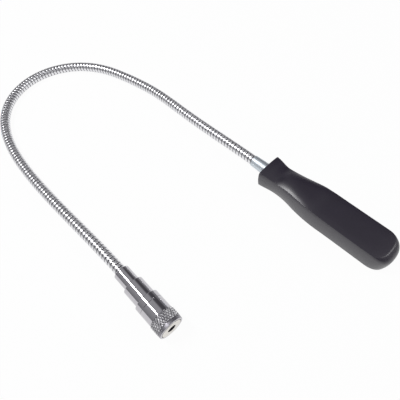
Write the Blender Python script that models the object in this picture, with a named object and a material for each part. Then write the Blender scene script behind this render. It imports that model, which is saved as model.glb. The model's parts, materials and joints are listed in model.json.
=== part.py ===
"""Flexible magnetic pickup tool: a moulded handle, a gooseneck of wound wire and a lighted magnet head.

Units are metres and +Z is up. The tool lies on a table, bent into a long hook, with its origin at the
middle of its base. The gooseneck is a chain of links, each with its own pivot, so that it can be bent.
"""

from math import ceil, cos, floor, pi, radians, sin, tan

import bmesh
import bpy
from mathutils import Vector

MM = 0.001

# Clearance between two pieces that touch on the real tool
GAP = 0.3 * MM

# Handle: a flat moulded grip with a waist behind its square front. Each row has a place behind the front,
# and there half the greatest width, half the top's width, the heights of the top's edge and middle, and how
# far the sides draw in towards the base
HANDLE_STATIONS = (
    (0.0 * MM, Vector((10.80, 10.00, 6.90, 7.80, 1.50)) * MM),
    (4.0 * MM, Vector((10.20, 9.80, 6.55, 7.55, 1.50)) * MM),
    (8.0 * MM, Vector((9.45, 9.30, 5.75, 6.95, 1.80)) * MM),
    (12.0 * MM, Vector((8.95, 8.80, 5.30, 6.55, 2.40)) * MM),
    (17.0 * MM, Vector((9.00, 8.90, 5.35, 7.85, 2.75)) * MM),
    (24.0 * MM, Vector((9.65, 9.50, 5.65, 8.45, 2.75)) * MM),
    (32.0 * MM, Vector((10.70, 10.55, 6.25, 8.45, 2.30)) * MM),
    (40.0 * MM, Vector((11.75, 11.60, 6.90, 8.40, 1.90)) * MM),
    (48.0 * MM, Vector((12.10, 11.95, 7.05, 7.95, 1.60)) * MM),
    (58.0 * MM, Vector((12.10, 12.00, 6.95, 7.75, 1.50)) * MM),
)
HANDLE_LENGTH = 102.0 * MM
HANDLE_AXIS_HEIGHT = 8.7 * MM
HANDLE_FRONT_RADIUS = 0.9 * MM
HANDLE_BUTT_LENGTH = 13.2 * MM
HANDLE_BUTT_FLAT_LENGTH = 8.4 * MM
HANDLE_BUTT_SQUARENESS = 2.35
HANDLE_WIDEST_BELOW_EDGE = 3.5 * MM
HANDLE_WIDEST_BELOW_TIP = 6.0 * MM
HANDLE_CROWN_POWER = 3
HANDLE_AZIMUTH = radians(-44.25)
HANDLE_FRONT_STEPS = 2
HANDLE_BODY_STEPS = 18
HANDLE_BUTT_STEPS = 16
HANDLE_TOP_STEPS = 3
HANDLE_LOW_STEPS = 5

# Ferrule: the plated tube that carries the gooseneck in the handle
FERRULE_SHOWN_LENGTH = 12.5 * MM
FERRULE_INSERT_LENGTH = 22.0 * MM
FERRULE_FRONT_WALL = 0.75 * MM
FERRULE_REAR_WALL = 1.15 * MM
FERRULE_EDGE = 0.3 * MM

# Gooseneck: a helical rib round a bore, with a plain stub at each end
NECK_DIAMETER = 7.5 * MM
NECK_GROOVE_DEPTH = 0.7 * MM
NECK_BORE = 3.0 * MM
NECK_PITCH = 2.78 * MM
NECK_LENGTH = 460.0 * MM
NECK_JOINTS = 27
NECK_MIN_BEND_RADIUS = 45.0 * MM
NECK_STUB_LENGTH = 9.0 * MM
NECK_SIDES = 8
LINK_SWING_MARGIN = radians(1.0)
LIFT_JOINTS = (1, 2, 5, 6)

# Rest shape of the gooseneck: how fast it turns left, in degrees per millimetre, along its length
NECK_TURNS = (
    (0.0 * MM, 0.08),
    (70.0 * MM, -0.13),
    (110.0 * MM, 0.37),
    (140.0 * MM, 0.13),
    (170.0 * MM, 0.89),
    (210.0 * MM, 1.15),
    (240.0 * MM, 1.15),
    (275.0 * MM, 0.98),
    (310.0 * MM, 0.45),
    (350.0 * MM, 0.14),
    (400.0 * MM, 0.03),
    (460.0 * MM, -0.10),
)
NECK_LOW_FROM = 230.0 * MM
NECK_LOW_TO = 320.0 * MM
ROUTE_STEP = 0.5 * MM

# Head, from the gooseneck to the magnet: sleeve, battery barrel with its collar, knurled cap with its lip
SLEEVE_WALL = 1.95 * MM
SLEEVE_LENGTH = 11.4 * MM
SLEEVE_SHOULDER = 1.5 * MM
SPIGOT_LENGTH = 4.2 * MM
BARREL_WALL = 1.9 * MM
BARREL_LENGTH = 12.9 * MM
BARREL_WEB = 1.0 * MM
COLLAR_LENGTH = 4.5 * MM
THREAD_WALL = 0.85 * MM
CAP_WALL = 2.05 * MM
CAP_PLAIN_LENGTH = 9.4 * MM
CAP_WEB = 2.0 * MM
KNURL_LENGTH = 6.4 * MM
KNURL_RISE = 0.5 * MM
KNURL_DEPTH = 0.6 * MM
KNURL_COLUMNS = 40
KNURL_ROWS = 6
LIP_LENGTH = 2.5 * MM
LIP_STEP = 0.15 * MM
LIP_RADIUS = 0.8 * MM
LIP_STEPS = 3
STEP_CHAMFER = 0.3 * MM

# Magnet and lamp
MAGNET_DIAMETER = 13.6 * MM
MAGNET_WALL = 1.05 * MM
MAGNET_THICKNESS = 5.0 * MM
MAGNET_PROUD = 0.2 * MM
MAGNET_EDGE = 0.25 * MM
LAMP_DIAMETER = 5.0 * MM
LAMP_FLANGE_RIM = 0.4 * MM
LAMP_FLANGE_THICKNESS = 1.0 * MM
LAMP_HEIGHT = 8.6 * MM
LAMP_DOME_STEPS = 4
CONTACT_DIAMETER = 7.0 * MM
CONTACT_THICKNESS = 0.6 * MM

# Battery: a stack of button cells in an insulating liner, pressed forward by a spring
CELL_DIAMETER = 7.9 * MM
CELL_HEIGHT = 3.6 * MM
CELL_COUNT = 3
CELL_CHAMFER = 0.4 * MM
LINER_WALL = 0.4 * MM
SPRING_DIAMETER = 6.4 * MM
SPRING_WIRE = 0.6 * MM
SPRING_CURLS = 3
SPRING_LENGTH = 4.2 * MM
SPRING_POINTS_PER_CURL = 9

TURNED_SIDES = 32
SMALL_TURNED_SIDES = 24
SMOOTH_ANGLE = radians(35.0)
PIVOT_SIZE = 4.0 * MM

# Sizes that follow from what fits inside: the gooseneck's stub, the cells, the magnet and the lamp
NECK_RADIUS = NECK_DIAMETER / 2
NECK_GROOVE_RADIUS = NECK_RADIUS - NECK_GROOVE_DEPTH
LINK_LENGTH = NECK_LENGTH / NECK_JOINTS
LINK_SWING = LINK_LENGTH / NECK_MIN_BEND_RADIUS
LINK_END_SNAP = NECK_PITCH / NECK_SIDES
STUB_RADIUS = NECK_GROOVE_RADIUS
STUB_BORE = 2 * (STUB_RADIUS + GAP)
FERRULE_FRONT_DIAMETER = STUB_BORE + 2 * FERRULE_FRONT_WALL
FERRULE_REAR_DIAMETER = STUB_BORE + 2 * FERRULE_REAR_WALL
SLEEVE_DIAMETER = STUB_BORE + 2 * SLEEVE_WALL
SPIGOT_DIAMETER = SLEEVE_DIAMETER - 2 * SLEEVE_SHOULDER
LINER_DIAMETER = CELL_DIAMETER + 2 * (GAP + LINER_WALL)
CHAMBER_DIAMETER = LINER_DIAMETER + 2 * GAP
BARREL_DIAMETER = CHAMBER_DIAMETER + 2 * BARREL_WALL
THREAD_DIAMETER = CHAMBER_DIAMETER + 2 * THREAD_WALL
CAP_BORE = THREAD_DIAMETER + 2 * GAP
MAGNET_POCKET = MAGNET_DIAMETER + 2 * GAP
CAP_DIAMETER = max(CAP_BORE + 2 * CAP_WALL, MAGNET_POCKET + 2 * MAGNET_WALL)
KNURL_DIAMETER = CAP_DIAMETER + 2 * KNURL_RISE
LIP_DIAMETER = CAP_DIAMETER + 2 * LIP_STEP
LAMP_HOLE = LAMP_DIAMETER + 2 * GAP
LAMP_FLANGE_DIAMETER = LAMP_DIAMETER + 2 * LAMP_FLANGE_RIM

# Places along the head's axis, measured from the back of the sleeve
BARREL_START = SLEEVE_LENGTH + GAP
SOCKET_END = BARREL_START + SPIGOT_LENGTH
CHAMBER_START = SOCKET_END + BARREL_WEB
SPRING_START = CHAMBER_START + GAP
CELLS_START = SPRING_START + SPRING_LENGTH + GAP
CELLS_END = CELLS_START + CELL_COUNT * (CELL_HEIGHT + GAP) - GAP
THREAD_END = CELLS_END - GAP
CONTACT_START = CELLS_END + GAP
CONTACT_END = CONTACT_START + CONTACT_THICKNESS
HOLDER_START = CONTACT_END + GAP
COLLAR_START = SLEEVE_LENGTH + BARREL_LENGTH
COLLAR_END = COLLAR_START + COLLAR_LENGTH
CAP_START = COLLAR_END + GAP
KNURL_START = COLLAR_END + CAP_PLAIN_LENGTH
LIP_START = KNURL_START + KNURL_LENGTH
HEAD_LENGTH = LIP_START + LIP_LENGTH
MAGNET_FACE = HEAD_LENGTH + MAGNET_PROUD
MAGNET_BACK = MAGNET_FACE - MAGNET_THICKNESS
CAP_WEB_FRONT = MAGNET_BACK - GAP
CAP_WEB_BACK = CAP_WEB_FRONT - CAP_WEB
HOLDER_END = CAP_WEB_BACK - GAP


def smoothstep(share):
    """Return the share eased at both ends, held between 0 and 1."""
    share = min(max(share, 0.0), 1.0)
    return share * share * (3 - 2 * share)


def between(table, at):
    """Read a value from a table of (place, value) rows, in straight lines between them."""
    for (start, low), (end, high) in zip(table, table[1:]):
        if at <= end:
            return low + (high - low) * (max(at, start) - start) / (end - start)
    return table[-1][1]


class NeckRoute:
    """The gooseneck's centre line at rest, from the ferrule to the head."""

    def __init__(self):
        start = HANDLE_AZIMUTH + pi
        self.headings = [start]
        self.places = [Vector((0.0, 0.0, 0.0))]
        for step in range(ceil(NECK_LENGTH / ROUTE_STEP) + 1):
            along = (step + 0.5) * ROUTE_STEP
            turn = radians(between(NECK_TURNS, along) / MM) * ROUTE_STEP
            middle = self.headings[-1] + turn / 2
            move = Vector((cos(middle), sin(middle), 0.0)) * ROUTE_STEP
            self.headings.append(self.headings[-1] + turn)
            self.places.append(self.places[-1] + move)

    def heading(self, along):
        """Return the direction of the centre line in plan, in radians."""
        along = min(max(along, 0.0), NECK_LENGTH)
        step = floor(along / ROUTE_STEP)
        share = along / ROUTE_STEP - step
        return self.headings[step] * (1 - share) + self.headings[step + 1] * share

    def height(self, along):
        """Return the height of the centre line, which dips to the table between the handle and the head."""
        handle, head = HANDLE_AXIS_HEIGHT, KNURL_DIAMETER / 2
        down = smoothstep(along / NECK_LOW_FROM)
        up = smoothstep((along - NECK_LOW_TO) / (NECK_LENGTH - NECK_LOW_TO))
        return handle + (NECK_RADIUS - handle) * down + (head - NECK_RADIUS) * up

    def place(self, along):
        """Return a point of the centre line, run straight past its two ends."""
        held = min(max(along, 0.0), NECK_LENGTH)
        step = floor(held / ROUTE_STEP)
        share = held / ROUTE_STEP - step
        plan = self.places[step].lerp(self.places[step + 1], share)
        heading = self.heading(held)
        plan += Vector((cos(heading), sin(heading), 0.0)) * (along - held)
        return Vector((plan.x, plan.y, self.height(held)))

    def across(self, along):
        """Return the directions to the left of the centre line and up from it."""
        heading = self.heading(along)
        left = Vector((-sin(heading), cos(heading), 0.0))
        ahead = self.place(along + ROUTE_STEP) - self.place(along - ROUTE_STEP)
        return left, ahead.normalized().cross(left)

    def bend(self, joint):
        """Return the turn to the left that a joint's stretch of the gooseneck has at rest."""
        middle = joint_place(joint)
        return self.heading(middle + LINK_LENGTH / 2) - self.heading(middle - LINK_LENGTH / 2)


def joint_place(joint):
    """Return how far along the gooseneck a joint lies. Joints count from 1 at the handle."""
    return (joint - 0.5) * LINK_LENGTH


def joint_swing(route, joint):
    """Return how far a joint turns each way from rest: left and right, or up and down for a lift joint."""
    if joint in LIFT_JOINTS:
        return LINK_SWING, LINK_SWING
    rest = route.bend(joint)
    return LINK_SWING - rest, LINK_SWING + rest


def make_material(name, colour, metallic, roughness):
    """Make a Principled material from an RGB colour."""
    material = bpy.data.materials.new(name)
    material.use_nodes = True
    shader = material.node_tree.nodes["Principled BSDF"]
    shader.inputs["Base Color"].default_value = (*colour, 1.0)
    shader.inputs["Metallic"].default_value = metallic
    shader.inputs["Roughness"].default_value = roughness
    material.diffuse_color = (*colour, 1.0)
    return material


def make_pivot(name, parent, place):
    """Add an empty at a place of the tool, on a joint's axis, carried by its parent."""
    pivot = bpy.data.objects.new(name, None)
    bpy.context.scene.collection.objects.link(pivot)
    pivot.empty_display_size = PIVOT_SIZE
    pivot["place"] = place
    if parent:
        pivot.parent = parent
        pivot.location = place - Vector(parent["place"])
    return pivot


def add_object(name, shape, pivot, material):
    """Link a mesh as a named piece of a pivot, with its material and smooth round faces."""
    mesh = bpy.data.meshes.new(name)
    bmesh.ops.recalc_face_normals(shape, faces=shape.faces)
    shape.to_mesh(mesh)
    shape.free()
    mesh.shade_smooth()
    mesh.set_sharp_from_angle(angle=SMOOTH_ANGLE)
    mesh.materials.append(material)
    piece = bpy.data.objects.new(name, mesh)
    bpy.context.scene.collection.objects.link(piece)
    piece.parent = pivot
    return piece


def join_rings(shape, first, second):
    """Skin two rings of points, either of which may be a single point on the axis."""
    count = max(len(first), len(second))
    for side in range(count):
        follow = (side + 1) % count
        corners = [first[side % len(first)], first[follow % len(first)]]
        corners += [second[follow % len(second)], second[side % len(second)]]
        shape.faces.new(list(dict.fromkeys(corners)))


def turned_shape(profile, sides):
    """Turn a closed profile of (place, radius) or (place, radius, knurl row) points about the X axis."""
    shape = bmesh.new()
    rings = []
    for place, radius, *knurl_row in profile:
        ring = []
        for side in range(sides if radius else 1):
            angle = 2 * pi * side / sides
            proud = KNURL_DEPTH * ((side + knurl_row[0]) % 2) if knurl_row else 0.0
            reach = radius + proud
            ring.append(shape.verts.new((place, reach * cos(angle), reach * sin(angle))))
        rings.append(ring)
    for first, second in zip(rings, rings[1:] + rings[:1]):
        if len(first) > 1 or len(second) > 1:
            join_rings(shape, first, second)
    return shape


def add_turned(name, profile, sides, pivot, material):
    """Add a turned piece on the axis of its pivot."""
    return add_object(name, turned_shape(profile, sides), pivot, material)


def handle_profile(along, inset, tip):
    """Return half a cross section of the handle, from the middle of its top to the middle of its base.

    Each point is (across, over, up): its reach to the side, its reach over the butt and its height. Tip goes
    from 0 at the handle's sides to 1 at the end of its butt, where the top stays flat to its edge.
    """
    widest, top, edge, middle, draw_in = between(HANDLE_STATIONS, along)
    widest, top, edge, middle = widest - inset, top - inset, edge - inset, middle - inset
    base = inset - HANDLE_AXIS_HEIGHT
    below = HANDLE_WIDEST_BELOW_EDGE + (HANDLE_WIDEST_BELOW_TIP - HANDLE_WIDEST_BELOW_EDGE) * tip
    widest_up = edge - below
    edge += (middle - edge) * tip
    profile = []
    for step in range(HANDLE_TOP_STEPS + 1):
        out = step / HANDLE_TOP_STEPS
        up = middle - (middle - edge) * out ** HANDLE_CROWN_POWER
        profile.append((top * out, HANDLE_BUTT_FLAT_LENGTH * out, up))
    shoulder = (widest * 3 + top) / 4, (HANDLE_BUTT_LENGTH * 3 + HANDLE_BUTT_FLAT_LENGTH) / 4
    profile.append((*shoulder, (widest_up + edge) / 2))
    for step in range(HANDLE_LOW_STEPS + 1):
        angle = pi / 2 * step / HANDLE_LOW_STEPS
        inward = draw_in * (1 - cos(angle))
        up = widest_up - (widest_up - base) * sin(angle)
        profile.append((widest - inward, HANDLE_BUTT_LENGTH - inward, up))
    return [*profile, (0.0, 0.0, base)]


def handle_ring(shape, along, inset):
    """Add one closed cross section of the handle."""
    right = [(across, up) for across, over, up in handle_profile(along, inset, 0.0)]
    outline = right + [(-across, up) for across, up in reversed(right[1:-1])]
    return [shape.verts.new((along, across, up)) for across, up in outline]


def add_butt(shape, ring, along):
    """Round off the handle's end, in a fan of profiles from its last ring's right half to the left half."""
    count = len(ring) // 2 + 1
    top, base = ring[0], ring[count - 1]
    fan = [ring[:count]]
    for step in range(1, HANDLE_BUTT_STEPS):
        angle = pi * step / HANDLE_BUTT_STEPS
        over_share = sin(angle) ** (2 / HANDLE_BUTT_SQUARENESS)
        out_share = abs(cos(angle)) ** (2 / HANDLE_BUTT_SQUARENESS)
        if angle > pi / 2:
            out_share = -out_share
        profile = handle_profile(along, 0.0, sin(angle) ** 2)[1:-1]
        points = [(along + over * over_share, across * out_share, up) for across, over, up in profile]
        fan.append([top, *[shape.verts.new(point) for point in points], base])
    fan.append([top, *reversed(ring[count:]), base])
    for first, second in zip(fan, fan[1:]):
        for step in range(count - 1):
            corners = [first[step], first[step + 1], second[step + 1], second[step]]
            shape.faces.new(list(dict.fromkeys(corners)))


def add_handle(pivot, material):
    """Add the grip, its front at the pivot, with a blind bore for the ferrule."""
    shape = bmesh.new()
    rings = []
    for step in range(HANDLE_FRONT_STEPS + 1):
        angle = pi / 2 * step / HANDLE_FRONT_STEPS
        inset = HANDLE_FRONT_RADIUS * (1 - sin(angle))
        rings.append(handle_ring(shape, HANDLE_FRONT_RADIUS * (1 - cos(angle)), inset))
    body_end = HANDLE_LENGTH - HANDLE_BUTT_LENGTH
    for step in range(1, HANDLE_BODY_STEPS + 1):
        along = HANDLE_FRONT_RADIUS + (body_end - HANDLE_FRONT_RADIUS) * step / HANDLE_BODY_STEPS
        rings.append(handle_ring(shape, along, 0.0))
    for first, second in zip(rings, rings[1:]):
        join_rings(shape, first, second)
    shape.faces.new(rings[0])
    add_butt(shape, rings[-1], body_end)
    handle = add_object("handle", shape, pivot, material)

    depth = FERRULE_INSERT_LENGTH + GAP
    radius = FERRULE_REAR_DIAMETER / 2 + GAP
    profile = ((-depth, 0.0), (-depth, radius), (depth, radius), (depth, 0.0))
    cutter = add_turned("handle_bore_cutter", profile, SMALL_TURNED_SIDES, pivot, material)
    cutter.hide_render = True
    cutter.display_type = "WIRE"
    bore = handle.modifiers.new("ferrule_bore", "BOOLEAN")
    bore.operation = "DIFFERENCE"
    bore.object = cutter


def add_ferrule(pivot, material):
    """Add the plated tube, its front at the pivot, widening to where it enters the handle."""
    front, rear, bore = FERRULE_FRONT_DIAMETER / 2, FERRULE_REAR_DIAMETER / 2, STUB_BORE / 2
    end = FERRULE_SHOWN_LENGTH + FERRULE_INSERT_LENGTH
    profile = (
        (0.0, bore),
        (0.0, front - FERRULE_EDGE),
        (FERRULE_EDGE, front),
        (FERRULE_SHOWN_LENGTH - GAP, rear),
        (end, rear),
        (end, bore),
    )
    add_turned("handle_ferrule", profile, SMALL_TURNED_SIDES, pivot, material)


class LinkEnd:
    """One end of a gooseneck link: a wedge with its edge on a joint's axis, or the foot of a stub."""

    def __init__(self, route, along, facing, joint):
        self.along = along
        self.facing = facing
        self.upright = joint in LIFT_JOINTS
        self.slopes = 0.0, 0.0
        if joint:
            swings = joint_swing(route, joint)
            self.slopes = [tan((swing + LINK_SWING_MARGIN) / 2) for swing in swings]

    def place(self, radius, angle):
        """Return how far along the gooseneck the end lies at a radius and an angle round the link."""
        aside = radius * (sin(angle) if self.upright else cos(angle))
        back = aside * self.slopes[0] if aside > 0 else -aside * self.slopes[1]
        return self.along - self.facing * (GAP / 2 + back)


def add_link(route, link, pivot, material):
    """Add one link of the gooseneck: a helical rib round a bore, ended by joints or by a stub."""
    first_joint = link if link else None
    last_joint = link + 1 if link < NECK_JOINTS else None
    start = LinkEnd(route, joint_place(link) if link else GAP / 2, -1, first_joint)
    end_place = joint_place(link + 1) if last_joint else NECK_LENGTH - GAP / 2
    end = LinkEnd(route, end_place, 1, last_joint)
    shape = bmesh.new()
    origin = Vector(pivot["place"])
    points = {}

    def point(key, along, radius, side):
        """Add the point of a key once, at a place along, a radius and a side of the link."""
        if key not in points:
            left, up = route.across(along)
            angle = 2 * pi * side / NECK_SIDES
            place = route.place(along) + left * (radius * cos(angle)) + up * (radius * sin(angle))
            points[key] = shape.verts.new(place - origin)
        return points[key]

    def rib_point(row, side):
        """Add a point of the rib's crest or groove, held between the link's ends."""
        row, side = row + 2 * (side // NECK_SIDES), side % NECK_SIDES
        angle = 2 * pi * side / NECK_SIDES
        along = (row / 2 + side / NECK_SIDES) * NECK_PITCH
        if along < start.place(NECK_RADIUS, angle) + LINK_END_SNAP:
            return point(("start", side), start.place(NECK_GROOVE_RADIUS, angle), NECK_GROOVE_RADIUS, side)
        if along > end.place(NECK_RADIUS, angle) - LINK_END_SNAP:
            return point(("end", side), end.place(NECK_GROOVE_RADIUS, angle), NECK_GROOVE_RADIUS, side)
        radius = NECK_RADIUS if row % 2 == 0 else NECK_GROOVE_RADIUS
        return point((row, side), along, radius, side)

    def ring(key, along_at, radius):
        """Add a ring of points at one radius, each at its own place along."""
        angles = [2 * pi * side / NECK_SIDES for side in range(NECK_SIDES)]
        return [point((key, side), along_at(angle), radius, side) for side, angle in enumerate(angles)]

    first_row = floor(2 * start.along / NECK_PITCH) - 3
    last_row = ceil(2 * end.along / NECK_PITCH) + 1
    for row in range(first_row, last_row):
        for side in range(NECK_SIDES):
            corners = [rib_point(row, side), rib_point(row, side + 1)]
            corners += [rib_point(row + 1, side + 1), rib_point(row + 1, side)]
            corners = list(dict.fromkeys(corners))
            if len(corners) > 2:
                shape.faces.new(corners)

    bore = NECK_BORE / 2
    outline = [[points["end", side] for side in range(NECK_SIDES)]]
    if not last_joint:
        stub_end = NECK_LENGTH + NECK_STUB_LENGTH
        outline.append(ring("stub_end", lambda angle: stub_end, STUB_RADIUS))
        outline.append(ring("bore_end", lambda angle: stub_end, bore))
    else:
        outline.append(ring("bore_end", lambda angle: end.place(bore, angle), bore))
    outline.append(ring("bore_middle", lambda angle: (start.along + end.along) / 2, bore))
    if not first_joint:
        outline.append(ring("bore_start", lambda angle: -NECK_STUB_LENGTH, bore))
        outline.append(ring("stub_start", lambda angle: -NECK_STUB_LENGTH, STUB_RADIUS))
    else:
        outline.append(ring("bore_start", lambda angle: start.place(bore, angle), bore))
    outline.append([points["start", side] for side in range(NECK_SIDES)])
    for first, second in zip(outline, outline[1:]):
        join_rings(shape, first, second)
    add_object(f"neck_link_{link:02d}", shape, pivot, material)


def add_sleeve(pivot, material):
    """Add the smallest step of the head, which holds the gooseneck's stub."""
    outer, spigot, bore = SLEEVE_DIAMETER / 2, SPIGOT_DIAMETER / 2, STUB_BORE / 2
    bottom = NECK_STUB_LENGTH + GAP
    end = SLEEVE_LENGTH + SPIGOT_LENGTH
    profile = (
        (bottom, 0.0),
        (bottom, bore),
        (0.0, bore),
        (0.0, outer - STEP_CHAMFER),
        (STEP_CHAMFER, outer),
        (SLEEVE_LENGTH, outer),
        (SLEEVE_LENGTH, spigot),
        (end, spigot),
        (end, 0.0),
    )
    add_turned("neck_sleeve", profile, SMALL_TURNED_SIDES, pivot, material)


def add_barrel(pivot, material):
    """Add the middle step and the collar, with a bore for the spigot and a chamber for the cells."""
    outer, collar, thread = BARREL_DIAMETER / 2, CAP_DIAMETER / 2, THREAD_DIAMETER / 2
    socket, chamber = SPIGOT_DIAMETER / 2 + GAP, CHAMBER_DIAMETER / 2
    profile = (
        (SOCKET_END, 0.0),
        (SOCKET_END, socket),
        (BARREL_START, socket),
        (BARREL_START, outer - STEP_CHAMFER),
        (BARREL_START + STEP_CHAMFER, outer),
        (COLLAR_START, outer),
        (COLLAR_START, collar - STEP_CHAMFER),
        (COLLAR_START + STEP_CHAMFER, collar),
        (COLLAR_END, collar),
        (COLLAR_END, thread),
        (THREAD_END, thread),
        (THREAD_END, chamber),
        (CHAMBER_START, chamber),
        (CHAMBER_START, 0.0),
    )
    add_turned("battery_barrel", profile, TURNED_SIDES, pivot, material)


def add_cap(pivot, material):
    """Add the twist cap: a plain stretch, a band of diamond knurling and a rounded lip round the magnet."""
    outer, lip, bore = CAP_DIAMETER / 2, LIP_DIAMETER / 2, CAP_BORE / 2
    hole, pocket, knurl = LAMP_HOLE / 2, MAGNET_POCKET / 2, KNURL_DIAMETER / 2 - KNURL_DEPTH
    profile = [(CAP_START, bore), (CAP_START, outer), (KNURL_START, outer)]
    for row in range(KNURL_ROWS + 1):
        profile.append((KNURL_START + KNURL_LENGTH * (row + 0.5) / (KNURL_ROWS + 1), knurl, row))
    profile += [(LIP_START, knurl), (LIP_START, lip)]
    for step in range(LIP_STEPS + 1):
        angle = pi / 2 * step / LIP_STEPS
        inset = LIP_RADIUS * (1 - cos(angle))
        profile.append((HEAD_LENGTH - LIP_RADIUS * (1 - sin(angle)), lip - inset))
    profile += [(HEAD_LENGTH, pocket), (CAP_WEB_FRONT, pocket), (CAP_WEB_FRONT, hole)]
    profile += [(CAP_WEB_BACK, hole), (CAP_WEB_BACK, bore)]
    add_turned("twist_cap", profile, KNURL_COLUMNS, pivot, material)


def add_magnet(pivot, material):
    """Add the ring magnet, with its edges broken."""
    outer, hole = MAGNET_DIAMETER / 2, LAMP_HOLE / 2
    profile = (
        (MAGNET_BACK, hole),
        (MAGNET_BACK, outer),
        (MAGNET_FACE - MAGNET_EDGE, outer),
        (MAGNET_FACE, outer - MAGNET_EDGE),
        (MAGNET_FACE, hole + MAGNET_EDGE),
        (MAGNET_FACE - MAGNET_EDGE, hole),
    )
    add_turned("ring_magnet", profile, TURNED_SIDES, pivot, material)


def add_lamp(pivot, lamp_material, holder_material, contact_material):
    """Add the lamp behind the magnet's hole, the holder that centres it and the disc that feeds it."""
    radius, flange = LAMP_DIAMETER / 2, LAMP_FLANGE_DIAMETER / 2
    seat = HOLDER_START
    shoulder = seat + LAMP_HEIGHT - radius
    lamp = [(seat, 0.0), (seat, flange)]
    lamp += [(seat + LAMP_FLANGE_THICKNESS, flange), (seat + LAMP_FLANGE_THICKNESS, radius)]
    for step in range(LAMP_DOME_STEPS):
        angle = pi / 2 * step / LAMP_DOME_STEPS
        lamp.append((shoulder + radius * sin(angle), radius * cos(angle)))
    lamp.append((seat + LAMP_HEIGHT, 0.0))
    add_turned("lamp", lamp, SMALL_TURNED_SIDES, pivot, lamp_material)

    hole, pocket, outer = LAMP_HOLE / 2, flange + GAP, CAP_BORE / 2 - GAP
    pocket_end = seat + LAMP_FLANGE_THICKNESS + GAP
    holder = (
        (seat, pocket),
        (seat, outer),
        (HOLDER_END, outer),
        (HOLDER_END, hole),
        (pocket_end, hole),
        (pocket_end, pocket),
    )
    add_turned("lamp_holder", holder, SMALL_TURNED_SIDES, pivot, holder_material)

    contact = CONTACT_DIAMETER / 2
    disc = ((CONTACT_START, 0.0), (CONTACT_START, contact), (CONTACT_END, contact), (CONTACT_END, 0.0))
    add_turned("contact_disc", disc, SMALL_TURNED_SIDES, pivot, contact_material)


def add_cells(pivot, cell_material, liner_material):
    """Add the stack of button cells and the liner that keeps them off the barrel."""
    radius = CELL_DIAMETER / 2
    for cell in range(CELL_COUNT):
        back = CELLS_START + cell * (CELL_HEIGHT + GAP)
        front = back + CELL_HEIGHT
        profile = (
            (back, 0.0),
            (back, radius - CELL_CHAMFER),
            (back + CELL_CHAMFER, radius),
            (front, radius),
            (front, 0.0),
        )
        add_turned(f"button_cell_{cell + 1}", profile, SMALL_TURNED_SIDES, pivot, cell_material)
    inner, outer = radius + GAP, LINER_DIAMETER / 2
    start, end = CHAMBER_START + GAP, THREAD_END - GAP
    liner = ((start, inner), (start, outer), (end, outer), (end, inner))
    add_turned("cell_liner", liner, SMALL_TURNED_SIDES, pivot, liner_material)


def add_spring(pivot, material):
    """Add the contact spring behind the cells as one wound wire, and print its least gap to itself."""
    radius, wire = (SPRING_DIAMETER - SPRING_WIRE) / 2, SPRING_WIRE / 2
    start = SPRING_START + wire
    rise = (SPRING_LENGTH - SPRING_WIRE) / SPRING_CURLS
    points = []
    for step in range(SPRING_CURLS * SPRING_POINTS_PER_CURL + 1):
        turns = step / SPRING_POINTS_PER_CURL
        angle = 2 * pi * turns
        points.append(Vector((start + rise * turns, radius * cos(angle), radius * sin(angle))))
    curve = bpy.data.curves.new("cell_spring", "CURVE")
    curve.dimensions = "3D"
    curve.bevel_depth = wire
    curve.bevel_resolution = 1
    curve.use_fill_caps = True
    spline = curve.splines.new("POLY")
    spline.points.add(len(points) - 1)
    for target, place in zip(spline.points, points):
        target.co = (*place, 1.0)
    curve.materials.append(material)
    spring = bpy.data.objects.new("cell_spring", curve)
    bpy.context.scene.collection.objects.link(spring)
    spring.parent = pivot
    apart = SPRING_POINTS_PER_CURL // 2
    pairs = [(a, b) for i, a in enumerate(points) for b in points[i + apart:]]
    least = min((a - b).length for a, b in pairs) - SPRING_WIRE
    print(f"cell_spring least gap to itself {least / MM:.2f} mm")


def add_gooseneck(route, root, material):
    """Add the links and their pivots, and return the pivot of the last one, which carries the head."""
    add_link(route, 0, root, material)
    pivot = root
    for joint in range(1, NECK_JOINTS + 1):
        kind = "lift" if joint in LIFT_JOINTS else "bend"
        pivot = make_pivot(f"pivot_neck_{kind}_{joint:02d}", pivot, route.place(joint_place(joint)))
        add_link(route, joint, pivot, material)
    return pivot


def turn_to(pivot, heading):
    """Turn a pivot so that its X axis lies along a heading in plan."""
    pivot.rotation_euler = (0.0, 0.0, heading)


def stand_on_origin(root):
    """Move the whole tool so that its origin is at the middle of its base."""
    bpy.context.view_layer.update()
    graph = bpy.context.evaluated_depsgraph_get()
    corners = []
    for piece in bpy.context.scene.objects:
        if piece.type in {"MESH", "CURVE"} and not piece.hide_render:
            shown = piece.evaluated_get(graph)
            mesh = shown.to_mesh()
            corners += [shown.matrix_world @ vertex.co for vertex in mesh.vertices]
            shown.to_mesh_clear()
    low = Vector([min(corner[axis] for corner in corners) for axis in range(3)])
    high = Vector([max(corner[axis] for corner in corners) for axis in range(3)])
    root.location = -Vector(((low.x + high.x) / 2, (low.y + high.y) / 2, low.z))
    bpy.context.view_layer.update()
    size = (high - low) / MM
    print(f"tool measures {size.x:.1f} x {size.y:.1f} x {size.z:.1f} mm")


def clear_scene():
    """Remove every object of the scene."""
    for piece in list(bpy.data.objects):
        bpy.data.objects.remove(piece, do_unlink=True)


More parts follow.
